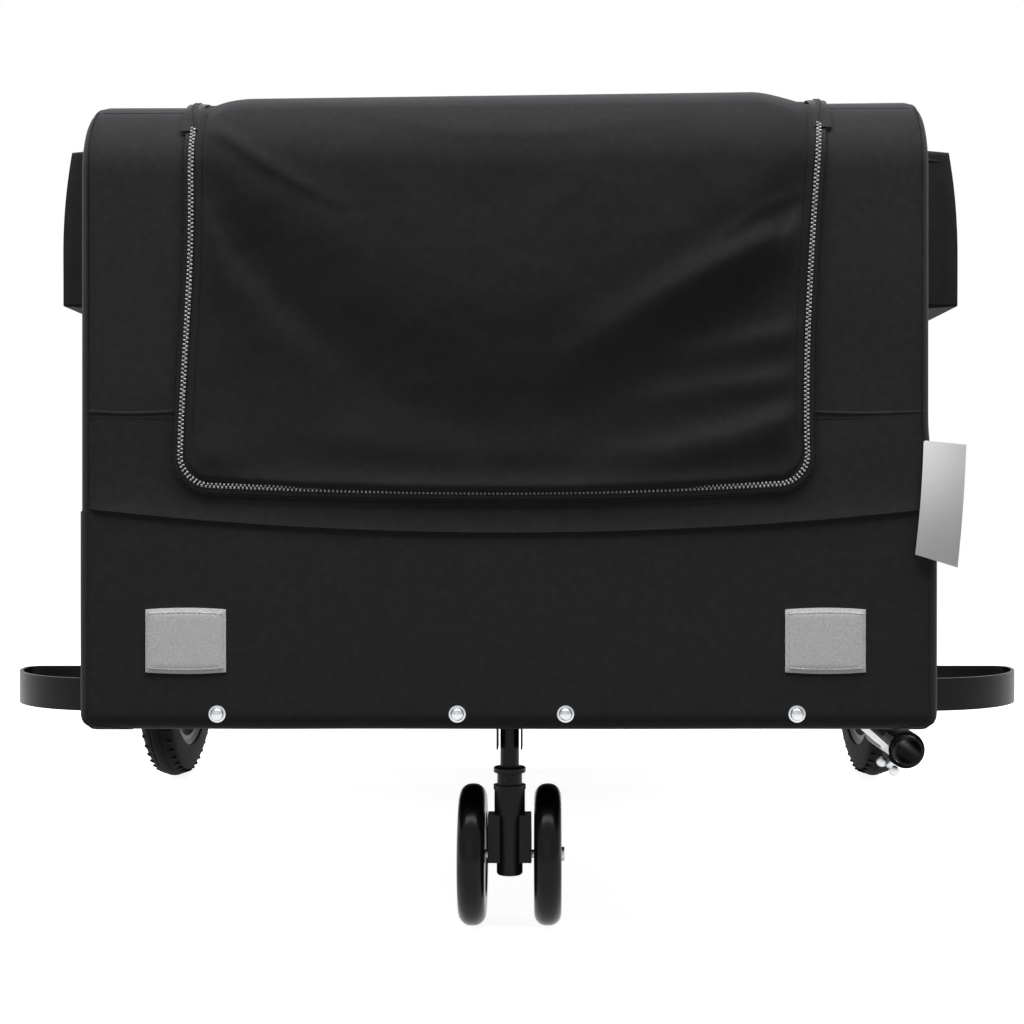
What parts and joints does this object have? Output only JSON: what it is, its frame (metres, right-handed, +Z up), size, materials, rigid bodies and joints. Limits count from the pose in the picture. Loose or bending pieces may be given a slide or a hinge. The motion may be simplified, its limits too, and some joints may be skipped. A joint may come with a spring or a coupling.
{
  "type": "bicycle trailer",
  "caption": "Enclosed fabric bicycle trailer on a tube frame with side wheels, wheel guards, a swivelling twin front caster and a lift-up front flap.",
  "frame": {"origin": "on the floor, midway between the flap's face and the main wheels' rear edge, on the centre plane", "axes": "+Z up, -Y forward (the way it is towed), +X the trailer's left side"},
  "size_m": [0.877, 0.91, 0.582],
  "materials": {
    "cloth": "woven, coated",
    "net": "open net",
    "black_steel": "powder coated",
    "black_plastic": "moulded",
    "tyre_rubber": "matt",
    "caster_rubber": "smooth",
    "zinc": "zinc plated"
  },
  "bodies": {
    "chassis": {"front_cross_tube": "black_steel", "rear_cross_tube": "black_steel", "side_rail_left": "black_steel", "side_rail_right": "black_steel", "front_cross_member": "black_steel", "middle_cross_member": "black_steel", "axle_tube": "black_steel", "corner_joints": "black_plastic", "side_hoop_left": "black_steel", "side_hoop_right": "black_steel", "front_roof_bar": "black_steel", "rear_roof_bar": "black_steel", "floor_panel": "cloth", "front_tub_panel": "cloth", "rear_tub_panel": "cloth", "side_tub_left": "cloth", "side_tub_right": "cloth", "front_wall": "cloth", "side_wall_left": "cloth", "side_wall_right": "cloth", "rear_wall": "cloth", "roof_panel": "cloth", "side_window_left": "net", "side_window_right": "net", "rear_window": "net", "side_pouch_left": "cloth", "side_pouch_right": "cloth", "wheel_guard_left": "black_steel", "wheel_guard_right": "black_steel", "axle_pin_left": "zinc", "axle_pin_right": "zinc", "drawbar_socket": "black_steel", "drawbar_bracket": "zinc", "drawbar_wing_screw": "zinc", "caster_bracket": "black_steel", "caster_post": "black_steel"},
    "wheel_left": {"tyre_left": "tyre_rubber", "wheel_rim_left": "black_plastic"},
    "wheel_right": {"tyre_right": "tyre_rubber", "wheel_rim_right": "black_plastic"},
    "caster_swivel": {"caster_fork": "black_steel"},
    "caster_wheels": {"caster_tyres": "caster_rubber", "caster_hubs": "black_plastic", "caster_axle": "zinc"},
    "flap": {"front_flap": "cloth"}
  },
  "joints": [
    {"name": "wheel_left_spin", "type": "hinge", "parent": "chassis", "child": "wheel_left", "pos_m": [0.389, 0.305, 0.15], "axis": [1, 0, 0], "continuous": true},
    {"name": "wheel_right_spin", "type": "hinge", "parent": "chassis", "child": "wheel_right", "pos_m": [-0.389, 0.305, 0.15], "axis": [1, 0, 0], "continuous": true},
    {"name": "caster_turn", "type": "hinge", "parent": "chassis", "child": "caster_swivel", "pos_m": [0, -0.4148, 0.09], "axis": [0, 0, 1], "continuous": true},
    {"name": "caster_spin", "type": "hinge", "parent": "caster_swivel", "child": "caster_wheels", "pos_m": [0, -0.3928, 0.05], "axis": [1, 0, 0], "continuous": true},
    {"name": "flap_lift", "type": "hinge", "parent": "chassis", "child": "flap", "pos_m": [0, -0.4235, 0.57636], "axis": [-1, 0, 0], "range_deg": [0, 120]}
  ]
}
